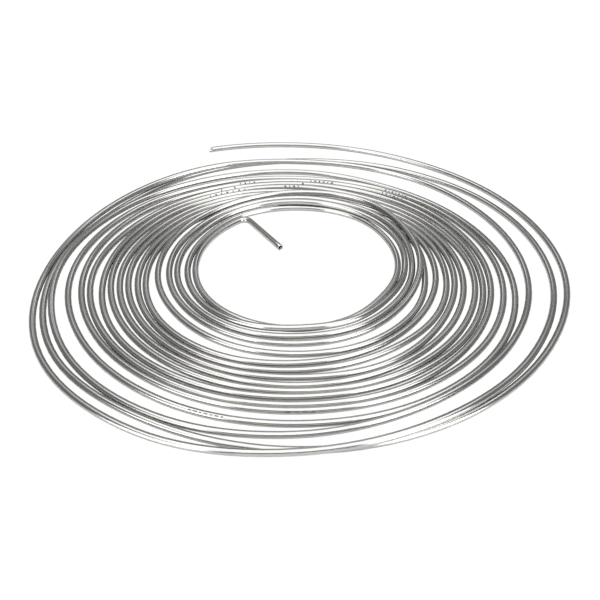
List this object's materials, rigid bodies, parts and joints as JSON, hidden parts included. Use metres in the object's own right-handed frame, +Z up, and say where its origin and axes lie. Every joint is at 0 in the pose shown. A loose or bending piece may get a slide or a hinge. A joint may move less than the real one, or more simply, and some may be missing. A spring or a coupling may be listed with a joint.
{
  "type": "immersion wort chiller coil",
  "caption": "Flat, loosely wound coil of thin-walled stainless tube with a plain cut outer end and an inner end bent in towards the middle, for carrying cooling water through hot wort.",
  "frame": {"origin": "middle of the coil's box in plan, on the surface it lies on", "axes": "+Z up through the open middle of the flat coil, +Y towards the side with the outer end"},
  "size_m": [0.5228, 0.5246, 0.013],
  "materials": {
    "tube": "bright drawn stainless steel"
  },
  "bodies": {
    "root": {"outer_end": "tube", "turn_01": "tube", "turn_02": "tube", "turn_03": "tube", "turn_04": "tube", "turn_05": "tube", "turn_06": "tube", "turn_07": "tube", "turn_08": "tube", "turn_09": "tube", "turn_10": "tube", "turn_11": "tube", "turn_12": "tube", "turn_13": "tube", "turn_14": "tube", "turn_15": "tube", "turn_16": "tube", "turn_17": "tube", "inner_bend": "tube", "inner_tail": "tube"}
  },
  "joints": []
}
